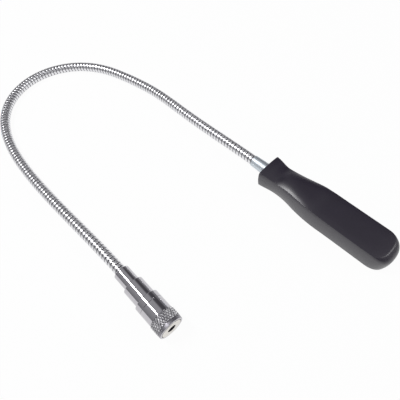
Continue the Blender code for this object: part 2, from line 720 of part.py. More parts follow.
def main():
    """Build the tool."""
    clear_scene()
    plastic = make_material("black moulded plastic", (0.018, 0.017, 0.019), 0.0, 0.32)
    zinc = make_material("zinc plated steel", (0.62, 0.66, 0.70), 1.0, 0.24)
    nickel = make_material("nickel plated wire", (0.72, 0.70, 0.68), 1.0, 0.18)
    chrome = make_material("chrome plated steel", (0.70, 0.69, 0.70), 1.0, 0.10)
    magnet = make_material("nickel plated magnet", (0.80, 0.78, 0.75), 1.0, 0.35)
    cell_steel = make_material("button cell steel", (0.60, 0.60, 0.60), 1.0, 0.30)
    liner = make_material("clear liner plastic", (0.75, 0.76, 0.72), 0.0, 0.45)
    spring_steel = make_material("spring steel", (0.45, 0.45, 0.46), 1.0, 0.30)
    brass = make_material("brass", (0.72, 0.55, 0.25), 1.0, 0.30)
    epoxy = make_material("clear lamp epoxy", (0.85, 0.88, 0.92), 0.0, 0.08)
    holder = make_material("black holder plastic", (0.010, 0.010, 0.011), 0.0, 0.50)

    root = make_pivot("tool", None, Vector((0.0, 0.0, 0.0)))
    route = NeckRoute()

    ferrule = make_pivot("ferrule_axis", root, route.place(0.0))
    turn_to(ferrule, HANDLE_AZIMUTH)
    add_ferrule(ferrule, zinc)
    front = route.place(-FERRULE_SHOWN_LENGTH)
    grip = make_pivot("handle_axis", root, front)
    turn_to(grip, HANDLE_AZIMUTH)
    add_handle(grip, plastic)

    last = add_gooseneck(route, root, nickel)

    head = make_pivot("head_axis", last, route.place(NECK_LENGTH))
    turn_to(head, route.heading(NECK_LENGTH))
    add_sleeve(head, chrome)
    add_barrel(head, chrome)
    add_spring(head, spring_steel)
    add_cells(head, cell_steel, liner)

    cap = make_pivot("pivot_cap_twist", last, route.place(NECK_LENGTH))
    turn_to(cap, route.heading(NECK_LENGTH))
    add_cap(cap, chrome)
    add_magnet(cap, magnet)
    add_lamp(cap, epoxy, holder, brass)

    stand_on_origin(root)


if __name__ == "__main__":
    main()
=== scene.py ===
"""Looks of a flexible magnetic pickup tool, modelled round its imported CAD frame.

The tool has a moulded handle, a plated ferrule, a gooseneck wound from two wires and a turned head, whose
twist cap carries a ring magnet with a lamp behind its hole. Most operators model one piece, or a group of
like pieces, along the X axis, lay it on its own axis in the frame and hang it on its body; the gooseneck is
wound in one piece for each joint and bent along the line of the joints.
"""

import json
from math import ceil, cos, pi, radians, sin

import bpy
import numpy as np
from bpy.props import FloatProperty, FloatVectorProperty, IntProperty, PointerProperty
from bpy.types import Operator, Panel, PropertyGroup
from mathutils import Matrix, Vector
from mathutils.geometry import interpolate_bezier


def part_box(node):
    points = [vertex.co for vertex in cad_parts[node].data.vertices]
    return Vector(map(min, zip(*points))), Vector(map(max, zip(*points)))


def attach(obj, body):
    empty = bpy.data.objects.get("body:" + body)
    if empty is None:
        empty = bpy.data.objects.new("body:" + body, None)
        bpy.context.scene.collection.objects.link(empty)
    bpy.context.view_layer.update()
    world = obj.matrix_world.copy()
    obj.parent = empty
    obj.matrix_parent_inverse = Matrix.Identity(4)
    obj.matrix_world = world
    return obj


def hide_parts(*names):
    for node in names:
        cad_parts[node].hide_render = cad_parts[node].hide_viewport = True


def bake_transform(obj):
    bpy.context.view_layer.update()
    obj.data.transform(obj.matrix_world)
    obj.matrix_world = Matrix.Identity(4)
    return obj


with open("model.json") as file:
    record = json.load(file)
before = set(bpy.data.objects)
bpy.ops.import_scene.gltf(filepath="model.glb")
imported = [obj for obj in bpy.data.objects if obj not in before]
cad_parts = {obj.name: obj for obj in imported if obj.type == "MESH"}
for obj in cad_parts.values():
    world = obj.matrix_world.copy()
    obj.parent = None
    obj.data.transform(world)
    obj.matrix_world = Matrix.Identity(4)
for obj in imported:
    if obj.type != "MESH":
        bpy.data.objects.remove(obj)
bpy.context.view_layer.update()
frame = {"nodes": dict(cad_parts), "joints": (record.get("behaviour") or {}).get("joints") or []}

bl_info = {
    "name": "Magnetic Pickup Tool",
    "version": (1, 0, 0),
    "blender": (4, 5, 0),
    "location": "3D View > Sidebar > Pickup Tool",
    "description": "Models the looks of a flexible magnetic pickup tool on its CAD frame",
    "category": "Add Mesh",
}

MM = 0.001
UP = Vector((0.0, 0.0, 1.0))
MERGE_DISTANCE = 0.001 * MM
NEAR = 0.02 * MM
CLEARANCE = 0.3 * MM
SMOOTH_ANGLE = radians(32.0)
BEVEL_ANGLE = radians(30.0)
BEVEL_SEGMENTS = 3
TURNED_STEPS = 96
SMALL_TURNED_STEPS = 64
ARC_STEPS = 6


def hex_colour(text):
    """Turn an sRGB hex colour into linear values on the standard's curve, with full alpha."""
    shares = [int(text[start:start + 2], 16) / 255 for start in (1, 3, 5)]
    linear = [share / 12.92 if share <= 0.04045 else ((share + 0.055) / 1.055) ** 2.4 for share in shares]
    return (*linear, 1.0)


def hex_tones(dark, light):
    """Return the two tones of a finish from their hex colours."""
    return hex_colour(dark), hex_colour(light)


def smoothstep(share):
    """Ease a share from 0 to 1, held at both ends."""
    share = min(max(share, 0.0), 1.0)
    return share * share * (3 - 2 * share)


def corners_of(node):
    """Return each corner of a CAD node once."""
    points = np.array([vertex.co for vertex in frame["nodes"][node].data.vertices])
    return np.unique(points.round(6), axis=0)


def ferrule_line():
    """Return the front end of the ferrule's axis, and the direction from there to the handle's butt."""
    corners = corners_of("handle_ferrule")
    middle = corners.mean(axis=0)
    axis = np.linalg.svd(corners - middle)[2][0]
    axis *= np.sign((corners_of("handle").mean(axis=0) - middle) @ axis)
    start = middle + axis * ((corners - middle) @ axis).min()
    return Vector(start), Vector(axis).normalized()


NECK_JOINTS = [joint for joint in frame["joints"] if joint["name"].startswith("neck_")]
CAP_JOINT = next(joint for joint in frame["joints"] if joint["name"] == "cap_twist")
HEAD_AXIS = Vector(CAP_JOINT["axis"]).normalized()
FERRULE_FRONT, HANDLE_AXIS = ferrule_line()
HANDLE_AZIMUTH = HANDLE_AXIS.to_2d().angle_signed(Vector((1.0, 0.0)))
HEAD_AZIMUTH = HEAD_AXIS.to_2d().angle_signed(Vector((1.0, 0.0)))


def along_handle(node):
    """Return how far each corner of a CAD node lies behind the ferrule's front, along the handle's axis."""
    return (corners_of(node) - np.array(FERRULE_FRONT)) @ np.array(HANDLE_AXIS)


HANDLE_START = along_handle("handle").min()
FERRULE_END = along_handle("handle_ferrule").max()


def length(name, description, millimetres):
    """Return a property that holds a length."""
    return FloatProperty(
        name=name, description=description, default=millimetres * MM,
        unit="LENGTH", subtype="DISTANCE", precision=5,
    )


def colour(name, description, text):
    """Return a property that holds a colour."""
    return FloatVectorProperty(
        name=name, description=description, default=hex_colour(text),
        subtype="COLOR", size=4, min=0.0, max=1.0,
    )


def share(name, description, default):
    """Return a property that holds a number from 0 to 1."""
    return FloatProperty(
        name=name, description=description, default=default, min=0.0, max=1.0, subtype="FACTOR"
    )


def count(name, description, default, least):
    """Return a property that holds a whole number."""
    return IntProperty(name=name, description=description, default=default, min=least)


class PickupHandle(PropertyGroup):
    """Sizes and colours of the moulded handle and its ferrule"""

    butt_start: length("Butt Start", "Distance behind the front where the butt begins to round", 88.8)
    butt_length: length("Butt Length", "Length of the rounded butt", 13.2)
    flat_length: length("Flat Length", "Length of the top face on the butt", 8.4)
    front_radius: length("Front Radius", "Radius round the front face", 0.9)
    edge_radius: length("Edge Radius", "Radius of the long edges of the top face", 0.1)
    butt_edge_radius: length("Butt Edge Radius", "Radius of the edge of the top face on the butt", 0.5)
    foot_radius: length("Foot Radius", "Radius round the base", 0.7)
    hole: length("Ferrule Hole", "Diameter of the hole that holds the ferrule", 9.3)
    ferrule_front: length("Ferrule Front", "Diameter of the ferrule at its front", 8.2)
    ferrule_rear: length("Ferrule Rear", "Diameter of the ferrule at the handle", 9.0)
    ferrule_bore: length("Ferrule Bore", "Diameter of the bore that holds the gooseneck", 7.7)
    plastic_dark: colour("Plastic Dark", "Darker tone of the black plastic", "#170F22")
    plastic_light: colour("Plastic Light", "Lighter tone of the black plastic", "#1F172A")
    zinc_dark: colour("Zinc Dark", "Darker tone of the zinc plate", "#CBD3DA")
    zinc_light: colour("Zinc Light", "Lighter tone of the zinc plate", "#DCE3E8")


class PickupGooseneck(PropertyGroup):
    """Sizes and colours of the gooseneck"""

    diameter: length("Diameter", "Diameter over the round wire", 7.5)
    wire: length("Wire Depth", "Depth of the flattened round wire", 2.0)
    wire_width: length("Wire Width", "Width of the flattened round wire", 2.3)
    pitch: length("Pitch", "Distance between turns", 2.84)
    filler_width: length("Filler Width", "Width of the three-sided wire between the turns", 0.8)
    filler_depth: length("Filler Depth", "Depth of the three-sided wire", 1.0)
    filler_sunk: length("Filler Sunk", "How far the three-sided wire lies below the round one", 0.15)
    lead: length("Lead", "Length of gooseneck inside the ferrule and inside the sleeve", 6.0)
    turn_steps: count("Turn Steps", "Steps in each turn of wire", 24, 8)
    wire_steps: count("Wire Steps", "Steps round the round wire", 20, 6)
    wire_dark: colour("Wire Dark", "Darker tone of the nickel plate", "#E8E8EB")
    wire_light: colour("Wire Light", "Lighter tone of the nickel plate", "#F4F4F6")
    # The filler's tones are dark as painted shade for the grooves between the turns.
    filler_dark: colour("Filler Dark", "Darker tone of the three-sided wire", "#68676C")
    filler_light: colour("Filler Light", "Lighter tone of the three-sided wire", "#767579")


class PickupHead(PropertyGroup):
    """Sizes and colours of the turned head; places are measured from the end of the gooseneck"""

    sleeve_diameter: length("Sleeve Diameter", "Diameter of the sleeve that holds the gooseneck", 10.6)
    sleeve_end: length("Sleeve End", "Place of the sleeve's shoulder", 11.4)
    sleeve_bore: length("Sleeve Bore", "Diameter of the bore that holds the gooseneck", 7.7)
    spigot_diameter: length("Spigot Diameter", "Diameter of the spigot in the barrel", 7.6)
    spigot_end: length("Spigot End", "Place of the spigot's end", 15.6)
    barrel_diameter: length("Barrel Diameter", "Diameter of the middle step", 13.7)
    collar_start: length("Collar Start", "Place where the collar begins", 24.3)
    collar_end: length("Collar End", "Place where the collar ends", 28.95)
    thread_diameter: length("Thread Diameter", "Diameter of the thread that carries the cap", 11.6)
    thread_end: length("Thread End", "Place where the thread ends", 32.8)
    chamber_diameter: length("Chamber Diameter", "Diameter of the battery chamber", 9.9)
    chamber_start: length("Chamber Start", "Place of the chamber's floor", 16.9)
    cap_start: length("Cap Start", "Place where the twist cap begins", 29.1)
    cap_diameter: length("Cap Diameter", "Diameter of the collar and the cap", 16.3)
    cap_bore: length("Cap Bore", "Diameter of the bore of the cap", 12.2)
    web_start: length("Web Start", "Place of the back of the cap's web", 40.0)
    web_end: length("Web End", "Place of the front of the cap's web", 42.0)
    knurl_start: length("Knurl Start", "Place where the knurled band begins", 38.2)
    knurl_end: length("Knurl End", "Place where the knurled band ends", 45.3)
    knurl_diameter: length("Knurl Diameter", "Diameter over the points of the knurling", 17.3)
    knurl_depth: length("Knurl Depth", "Depth of the knurling", 0.65)
    knurl_rows: count("Knurl Rows", "Rows of points along the band", 5, 2)
    knurl_columns: count("Knurl Columns", "Points in each row round the band", 30, 12)
    lip_diameter: length("Lip Diameter", "Diameter of the lip round the magnet", 16.6)
    lip_radius: length("Lip Radius", "Radius of the lip's edge", 0.35)
    lip_end: length("Lip End", "Place of the lip's face", 47.1)
    magnet_pocket: length("Magnet Pocket", "Diameter of the pocket that holds the magnet", 14.2)
    magnet_diameter: length("Magnet Diameter", "Diameter of the ring magnet", 13.6)
    magnet_back: length("Magnet Back", "Place of the magnet's back", 42.3)
    magnet_face: length("Magnet Face", "Place of the magnet's face", 47.3)
    lamp_hole: length("Lamp Hole", "Diameter of the hole in front of the lamp", 5.6)
    lamp_diameter: length("Lamp Diameter", "Diameter of the lamp", 5.0)
    lamp_flange: length("Lamp Flange", "Diameter of the lamp's flange", 5.8)
    lamp_seat: length("Lamp Seat", "Place of the lamp's back", 34.3)
    lamp_tip: length("Lamp Tip", "Place of the lamp's tip", 42.9)
    cell_diameter: length("Cell Diameter", "Diameter of a button cell", 7.9)
    cell_height: length("Cell Height", "Height of a button cell", 3.6)
    cell_count: count("Cell Count", "Number of button cells", 3, 1)
    cells_start: length("Cells Start", "Place of the first button cell", 21.7)
    spring_diameter: length("Spring Diameter", "Diameter of the contact spring", 6.4)
    spring_wire: length("Spring Wire", "Diameter of the spring's wire", 0.6)
    contact_diameter: length("Contact Diameter", "Diameter of the contact disc", 7.0)
    chrome_dark: colour("Chrome Dark", "Darker tone of the chrome plate", "#BDBBC0")
    chrome_light: colour("Chrome Light", "Lighter tone of the chrome plate", "#CFCDD1")
    magnet_dark: colour("Magnet Dark", "Darker tone of the magnet's nickel plate", "#E4DFD8")
    magnet_light: colour("Magnet Light", "Lighter tone of the magnet's nickel plate", "#F3F0EB")


class PickupStage(PropertyGroup):
    """Camera, floor and light of the picture"""

    target: FloatVectorProperty(
        name="Target", description="Point of the floor at the middle of the picture",
        default=(18.934 * MM, -23.14 * MM, 0.0), subtype="TRANSLATION", unit="LENGTH",
    )
    distance: length("Distance", "Distance of the camera from the target", 286.06)
    elevation: FloatProperty(
        name="Elevation", description="Angle of the camera above the floor",
        default=radians(56.5), subtype="ANGLE", unit="ROTATION",
    )
    focal_length: FloatProperty(
        name="Focal Length", description="Focal length on a 36 mm sensor", default=36.0, unit="CAMERA"
    )
    left_power: FloatProperty(
        name="Left Softbox", description="Power of the strip softbox on the left", default=4.5, unit="POWER"
    )
    right_power: FloatProperty(
        name="Right Softbox", description="Power of the softbox on the right", default=2.5, unit="POWER"
    )
    floor_white: share("Floor White", "Share of the floor that shows plain white to the camera", 0.96)
    floor_shine: share("Floor Shine", "Share of the floor that shows plain white in reflections", 0.8)
    room_low: colour("Room Low", "Colour of the room near the floor", "#868689")
    room_light: colour("Room Light", "Colour of the room overhead", "#B2B2B4")
    room_dark: colour("Room Dark", "Colour of the dark side of the room", "#545256")


def add_node(tree, kind, inputs=None, **settings):
    """Add a node with its settings, and set its inputs to values or link them to other nodes' outputs."""
    node = tree.nodes.new(kind)
    for name, value in settings.items():
        setattr(node, name, value)
    for name, value in (inputs or {}).items():
        if isinstance(value, bpy.types.NodeSocket):
            tree.links.new(value, node.inputs[name])
        else:
            node.inputs[name].default_value = value
    return node


METAL = {"Metallic": 1.0}
NOISE_DETAIL = 3.0
# Nearly all of a noise pattern lies between these two values.
NOISE_LOW, NOISE_HIGH = 0.25, 0.75
# A pattern of this size in millimetres doesn't change across the tool.
ENDLESS = 1000.0


def mottle(tree, size, azimuth):
    """Return a noise pattern with patches of this size in millimetres.

    Three sizes in place of one are along an axis in the plane of the floor, across it and up.
    """
    place = add_node(
        tree, "ShaderNodeMapping",
        {
            "Vector": add_node(tree, "ShaderNodeTexCoord").outputs["Object"],
            "Rotation": (0.0, 0.0, azimuth),
            "Scale": tuple(np.broadcast_to(size, 3) * MM),
        },
        vector_type="TEXTURE",
    )
    inputs = {"Vector": place.outputs["Vector"], "Scale": 1.0, "Detail": NOISE_DETAIL}
    return add_node(tree, "ShaderNodeTexNoise", inputs).outputs["Fac"]


def make_finish(name, tones, patch, roughness, grain, dent, azimuth=0.0, sockets=METAL):
    """Make a material: two tones in patches, and a grain that varies the roughness and dents the surface.

    Patch, grain and dent are real sizes in millimetres. Patch can also be the name of an attribute, which
    then mixes the tones in place of the patches.
    """
    material = bpy.data.materials.new(name)
    material.use_nodes = True
    tree = material.node_tree
    shader = tree.nodes["Principled BSDF"]
    for socket, value in sockets.items():
        shader.inputs[socket].default_value = value
    if isinstance(patch, str):
        part = add_node(tree, "ShaderNodeAttribute", attribute_name=patch).outputs["Fac"]
    else:
        part = mottle(tree, patch, azimuth)
    inputs = {"Fac": part, "Color1": tones[0], "Color2": tones[1]}
    tree.links.new(add_node(tree, "ShaderNodeMixRGB", inputs).outputs["Color"], shader.inputs["Base Color"])
    pattern = mottle(tree, grain, azimuth)
    inputs = {
        "Value": pattern, "From Min": NOISE_LOW, "From Max": NOISE_HIGH,
        "To Min": roughness[0], "To Max": roughness[1],
    }
    spread = add_node(tree, "ShaderNodeMapRange", inputs)
    tree.links.new(spread.outputs["Result"], shader.inputs["Roughness"])
    dents = add_node(tree, "ShaderNodeBump", {"Strength": 1.0, "Distance": dent * MM, "Height": pattern})
    tree.links.new(dents.outputs["Normal"], shader.inputs["Normal"])
    return material


def clear_selection():
    """Deselect everything, so that the next operator acts on its own piece alone."""
    bpy.ops.object.select_all(action="DESELECT")


def named(name):
    """Name the object that the last operator added, and return it."""
    piece = bpy.context.object
    piece.name = piece.data.name = name
    return piece


def apply_modifier(piece, kind, **settings):
    """Give the active piece a modifier, and apply it."""
    modifier = piece.modifiers.new(kind.title(), kind)
    for name, value in settings.items():
        setattr(modifier, name, value)
    bpy.ops.object.modifier_apply(modifier=modifier.name)


def merge_and_orient():
    """In edit mode, merge doubled points and turn all faces outwards."""
    bpy.ops.mesh.select_all(action="SELECT")
    bpy.ops.mesh.remove_doubles(threshold=MERGE_DISTANCE)
    bpy.ops.mesh.normals_make_consistent(inside=False)


def select_points(piece, chosen):
    """Select the points of a piece whose vertices pass a test, and leave the piece in edit mode."""
    bpy.ops.object.mode_set(mode="EDIT")
    bpy.ops.mesh.select_all(action="DESELECT")
    bpy.ops.object.mode_set(mode="OBJECT")
    for vertex in piece.data.vertices:
        vertex.select = chosen(vertex)
    bpy.ops.object.mode_set(mode="EDIT")


def trace(name, profile):
    """Draw a profile of (place, radius) points, closed unless it starts on the axis, in edit mode."""
    clear_selection()
    bpy.ops.mesh.primitive_plane_add(size=MM)
    piece = named(name)
    bpy.ops.object.mode_set(mode="EDIT")
    bpy.ops.mesh.merge(type="CENTER")
    points = [Vector((place, 0.0, radius)) for place, radius in profile]
    bpy.ops.transform.translate(value=points[0])
    for last, point in zip(points, points[1:]):
        bpy.ops.mesh.extrude_vertices_move(TRANSFORM_OT_translate={"value": point - last})
    bpy.ops.mesh.select_all(action="SELECT")
    if profile[0][1] > 0:
        bpy.ops.mesh.edge_face_add()
        bpy.ops.mesh.delete(type="ONLY_FACE")
        bpy.ops.mesh.select_all(action="SELECT")
    return piece


def turn(name, profile, steps=SMALL_TURNED_STEPS):
    """Turn a profile about the X axis, as on a lathe."""
    piece = trace(name, profile)
    bpy.ops.mesh.spin(steps=steps, angle=2 * pi, center=(0.0, 0.0, 0.0), axis=(1.0, 0.0, 0.0))
    merge_and_orient()
    bpy.ops.object.mode_set(mode="OBJECT")
    return piece


def quarter_arc(place, radius, size):
    """Return points on a quarter of a circle about a (place, radius) centre, from outwards to onwards."""
    angles = [pi / 2 * step / ARC_STEPS for step in range(ARC_STEPS + 1)]
    return [(place + size * sin(angle), radius + size * cos(angle)) for angle in angles]


def angles_round(steps):
    """Return evenly spaced angles, once round."""
    return [2 * pi * step / steps for step in range(steps)]


def break_edges(piece, width):
    """Round the sharp edges of the active piece."""
    apply_modifier(
        piece, "BEVEL", width=width, segments=BEVEL_SEGMENTS, limit_method="ANGLE", angle_limit=BEVEL_ANGLE
    )


def lay(piece, line, material):
    """Lay the active piece, modelled along X, on a line in the frame, smooth it and give it its material."""
    start, axis = line
    side = UP.cross(axis).normalized()
    turned = Matrix((axis, side, axis.cross(side))).transposed()
    piece.matrix_world = Matrix.Translation(start) @ turned.to_4x4()
    bpy.ops.object.transform_apply(location=True, rotation=True, scale=True)
    bpy.ops.object.shade_smooth_by_angle(angle=SMOOTH_ANGLE)
    apply_modifier(piece, "WEIGHTED_NORMAL", keep_sharp=True)
    piece.data.materials.append(material)


def hang(piece, body, slot, *nodes):
    """Make a piece move with a body in the place of CAD nodes. The material slot is not used."""
    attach(piece, body)
    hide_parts(*nodes)


def add_turned(name, profile, material, line, body, slot, node, edge, steps=SMALL_TURNED_STEPS):
    """Turn a piece, round its edges, lay it on its line and hang it on its body."""
    piece = turn(name, profile, steps)
    break_edges(piece, edge)
    lay(piece, line, material)
    hang(piece, body, slot, node)


def wind(name, profile, start, end, pitch, turn_steps):
    """Wind a wire of this profile round the X axis from one place to another, and close its ends."""
    piece = trace(name, profile)
    bpy.ops.object.mode_set(mode="OBJECT")
    piece.location.x = start
    piece.rotation_euler.x = 2 * pi * start / pitch
    bpy.ops.object.transform_apply(location=True, rotation=True, scale=True)
    turns = (end - start) / pitch
    steps = ceil(turns * turn_steps)
    apply_modifier(
        piece, "SCREW", axis="X", angle=2 * pi * turns, screw_offset=end - start,
        steps=steps, render_steps=steps,
    )
    for first in (0, len(piece.data.vertices) - len(profile)):
        select_points(piece, lambda vertex: first <= vertex.index < first + len(profile))
        bpy.ops.mesh.edge_face_add()
        bpy.ops.object.mode_set(mode="OBJECT")
    bpy.ops.object.mode_set(mode="EDIT")
    merge_and_orient()
    bpy.ops.object.mode_set(mode="OBJECT")
    return piece


# Places behind the handle's front, and what the handle measures there in millimetres: half its greatest
# width, half the width of its top face, the heights of the top face's edges and middle above the axis, and
# how far its sides draw in towards the base.
HANDLE_STATIONS = (
    (0.0, 10.90, 10.00, 6.60, 7.30, 1.90),
    (4.0, 10.30, 9.80, 6.25, 6.95, 1.90),
    (8.0, 9.55, 9.30, 5.45, 6.25, 1.90),
    (12.0, 9.10, 8.80, 5.05, 6.00, 2.00),
    (17.0, 9.15, 8.90, 5.40, 7.50, 2.20),
    (24.0, 9.80, 9.35, 6.00, 8.40, 2.20),
    (32.0, 10.85, 10.35, 6.60, 8.40, 1.60),
    (40.0, 11.90, 11.50, 7.05, 8.35, 1.50),
    (48.0, 12.25, 11.85, 7.15, 7.65, 1.30),
    (58.0, 12.25, 12.00, 6.95, 7.35, 1.40),
    (102.0, 12.25, 12.00, 6.95, 7.35, 1.40),
)
HANDLE_TOP_STEPS = 10
HANDLE_EDGE_STEPS = 4
HANDLE_SIDE_STEPS = 5
HANDLE_LOW_STEPS = 10
HANDLE_FRONT_STEPS = 5
HANDLE_BODY_STEPS = 72
HANDLE_BUTT_STEPS = 64
# How far the widest line lies below the edge of the top face, at the sides and at the end of the butt.
WIDEST_BELOW_EDGE, WIDEST_BELOW_TIP = 2.5 * MM, 6.0 * MM
# The butt is a rounded square of this power from above, and its top edge rises by this share of the crown.
BUTT_SQUARENESS = 2.6
BUTT_EDGE_LIFT = 0.8
# The crown of the top follows a curve of this power, soft near the front and flatter behind.
CROWN_SOFT, CROWN_FLAT = 2.0, 4.0
CROWN_SOFT_AT, CROWN_FLAT_AT = 16.0 * MM, 40.0 * MM
# The upper side is a round that turns through this angle below the edge.
EDGE_TURN = radians(60.0)


def measure_at(along):
    """Return what the handle measures at a place, on smooth curves through its stations."""
    rows = np.array(HANDLE_STATIONS) * MM
    places, values = rows[:, 0], rows[:, 1:]
    slopes = np.gradient(values, places, axis=0)
    row = int(np.clip(np.searchsorted(places, along) - 1, 0, len(places) - 2))
    step = places[row + 1] - places[row]
    part = (along - places[row]) / step
    ease = smoothstep(part)
    lean = part * (1 - part) * step * (slopes[row] * (1 - part) - slopes[row + 1] * part)
    return values[row] * (1 - ease) + values[row + 1] * ease + lean


def round_corner(start, corner, end):
    """Return points that round a corner, up to the one before the end."""
    parts = [step / HANDLE_EDGE_STEPS for step in range(HANDLE_EDGE_STEPS)]
    return [start.lerp(corner, part).lerp(corner.lerp(end, part), part) for part in parts]


def handle_profile(handle, along, base, inset=0.0, tip=0.0):
    """Return half a cross section of the handle, from the middle of its top to the middle of its base.

    Each point has a reach across the handle, a reach beyond the butt's start, and a height. The top is
    crowned between crisp edges, and the sides draw in below. Inset draws the whole section in. Tip goes from
    0 at the sides to 1 at the end of the butt.
    """
    *sizes, draw_in = measure_at(along)
    widest, top_half, edge_height, middle_height = (size - inset for size in sizes)
    base += inset
    butt, flat = handle.butt_length, handle.flat_length
    widest_height = edge_height - WIDEST_BELOW_EDGE - (WIDEST_BELOW_TIP - WIDEST_BELOW_EDGE) * tip
    edge_height += (middle_height - edge_height) * BUTT_EDGE_LIFT * tip
    flatness = smoothstep((along - CROWN_SOFT_AT) / (CROWN_FLAT_AT - CROWN_SOFT_AT))
    power = CROWN_SOFT + (CROWN_FLAT - CROWN_SOFT) * flatness

    def top(out):
        """Return the point of the top face at a share of the way out to its edge."""
        drop = (middle_height - edge_height) * out ** power
        return Vector((top_half * out, flat * out, middle_height - drop))

    def side(down):
        """Return the point of the upper side at a share of the way down from the edge."""
        angle = EDGE_TURN * (1 - down)
        out = (1 - cos(angle)) / (1 - cos(EDGE_TURN))
        up = (edge_height - widest_height) * sin(angle) / sin(EDGE_TURN)
        return Vector((widest - (widest - top_half) * out, butt - (butt - flat) * out, widest_height + up))

    def low(down):
        """Return the point of the lower side at a share of the way down to the base."""
        inward = draw_in * down ** 2
        return Vector((widest - inward, butt - inward, widest_height - (widest_height - base) * down))

    radius = handle.edge_radius + (handle.butt_edge_radius - handle.edge_radius) * tip
    first_out, first_down = 1 - radius / top_half, radius / (edge_height - widest_height)
    last_down = 1 - handle.foot_radius / (widest_height - base)
    foot = low(1.0) - Vector((handle.foot_radius, handle.foot_radius, 0.0))
    spread = 1 - first_down
    profile = [top(first_out * step / HANDLE_TOP_STEPS) for step in range(HANDLE_TOP_STEPS)]
    profile += round_corner(top(first_out), top(1.0), side(first_down))
    profile += [side(first_down + spread * step / HANDLE_SIDE_STEPS) for step in range(HANDLE_SIDE_STEPS)]
    profile += [low(last_down * step / HANDLE_LOW_STEPS) for step in range(HANDLE_LOW_STEPS)]
    profile += round_corner(low(last_down), low(1.0), foot)
    return [*profile, foot, Vector((0.0, 0.0, base))]


def handle_rows(handle, base):
    """Return the handle's half profiles, from its front along one side, round the butt and back again."""
    side = []
    for step in range(HANDLE_FRONT_STEPS + 1):
        angle = pi / 2 * step / HANDLE_FRONT_STEPS
        along, inset = handle.front_radius * (1 - cos(angle)), handle.front_radius * (1 - sin(angle))
        side.append((along, handle_profile(handle, along, base, inset)))
    for step in range(1, HANDLE_BODY_STEPS):
        along = handle.front_radius + (handle.butt_start - handle.front_radius) * step / HANDLE_BODY_STEPS
        side.append((along, handle_profile(handle, along, base)))
    right = [[(along, across, height) for across, _, height in profile] for along, profile in side]
    left = [[(along, -across, height) for across, _, height in profile] for along, profile in reversed(side)]
    butt = []
    for step in range(HANDLE_BUTT_STEPS + 1):
        angle = pi * step / HANDLE_BUTT_STEPS
        power = 2 / BUTT_SQUARENESS
        over, out = sin(angle) ** power, abs(cos(angle)) ** power
        out = out if angle < pi / 2 else -out
        profile = handle_profile(handle, handle.butt_start, base, tip=sin(angle) ** 2)
        butt.append(
            [(handle.butt_start + reach * over, across * out, height) for across, reach, height in profile]
        )
    return right + butt + left


def skin(name, rows):
    """Skin rows of points from a flat grid, merge where they meet and close the open end with a face."""
    clear_selection()
    last_row, last_column = len(rows) - 1, len(rows[0]) - 1
    bpy.ops.mesh.primitive_grid_add(x_subdivisions=last_row, y_subdivisions=last_column, size=1.0)
    piece = named(name)
    for vertex in piece.data.vertices:
        row, column = round((vertex.co.x + 0.5) * last_row), round((vertex.co.y + 0.5) * last_column)
        vertex.co = rows[row][column]
    bpy.ops.object.mode_set(mode="EDIT")
    bpy.ops.mesh.select_all(action="SELECT")
    bpy.ops.mesh.remove_doubles(threshold=MERGE_DISTANCE)
    bpy.ops.mesh.select_all(action="DESELECT")
    bpy.ops.mesh.select_non_manifold()
    bpy.ops.mesh.edge_face_add()
    merge_and_orient()
    bpy.ops.object.mode_set(mode="OBJECT")
    return piece


class PICKUP_OT_handle(Operator):
    """Model the moulded handle, with its flared front, waist, rounded butt and ferrule hole"""

    bl_idname = "pickup_tool.add_handle"
    bl_label = "Add Handle"
    bl_options = {"REGISTER", "UNDO"}

    def execute(self, context):
        handle = context.scene.pickup_handle
        # ABS, moulded in a lightly sparked tool: near black and half gloss, with a smoother skin on top and a
        # faint unevenness in its shine, which is drawn coarser than the real one so that it shows.
        plastic = make_finish(
            "moulded black ABS", (handle.plastic_dark, handle.plastic_light), patch=9.0,
            roughness=(0.36, 0.42), grain=1.6, dent=0.0006,
            sockets={"IOR": 1.6, "Coat Weight": 0.5, "Coat Roughness": 0.34},
        )
        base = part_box("handle")[0].z - FERRULE_FRONT.z
        piece = skin("handle_grip", handle_rows(handle, base))
        depth, radius = FERRULE_END - HANDLE_START, handle.hole / 2
        bottom = depth + CLEARANCE
        cutter = turn("ferrule_hole", ((-depth, 0.0), (-depth, radius), (bottom, radius), (bottom, 0.0)))
        context.view_layer.objects.active = piece
        apply_modifier(piece, "BOOLEAN", operation="DIFFERENCE", object=cutter)
        bpy.data.objects.remove(cutter)
        clear_selection()
        piece.select_set(True)
        lay(piece, (FERRULE_FRONT + HANDLE_AXIS * HANDLE_START, HANDLE_AXIS), plastic)
        hang(piece, "grip", "black_plastic", "handle")
        return {"FINISHED"}


class PICKUP_OT_ferrule(Operator):
    """Turn the plated tube between the handle and the gooseneck"""

    bl_idname = "pickup_tool.add_ferrule"
    bl_label = "Add Ferrule"
    bl_options = {"REGISTER", "UNDO"}

    def execute(self, context):
        handle = context.scene.pickup_handle
        # Drawn steel tube with bright zinc plate: bluish, soft in its shine, with lines along its length.
        # They are drawn coarser than real ones so that they show.
        zinc = make_finish(
            "bright zinc plate on drawn steel", (handle.zinc_dark, handle.zinc_light), patch=(12.0, 1.1, 1.1),
            roughness=(0.42, 0.50), grain=(9.0, 0.8, 0.8), dent=0.0002, azimuth=HANDLE_AZIMUTH,
        )
        front, rear, bore = handle.ferrule_front / 2, handle.ferrule_rear / 2, handle.ferrule_bore / 2
        tube = ((0.0, bore), (0.0, front), (HANDLE_START, rear), (FERRULE_END, rear), (FERRULE_END, bore))
        line = FERRULE_FRONT, HANDLE_AXIS
        add_turned("ferrule_tube", tube, zinc, line, "grip", "zinc_plate", "handle_ferrule", edge=0.12 * MM)
        return {"FINISHED"}


def head_line(head):
    """Return the end of the gooseneck, where the head's places are measured from, and the head's axis."""
    return Vector(CAP_JOINT["pos_m"]) - HEAD_AXIS * head.cap_start, HEAD_AXIS


ROUTE_STEPS = 24
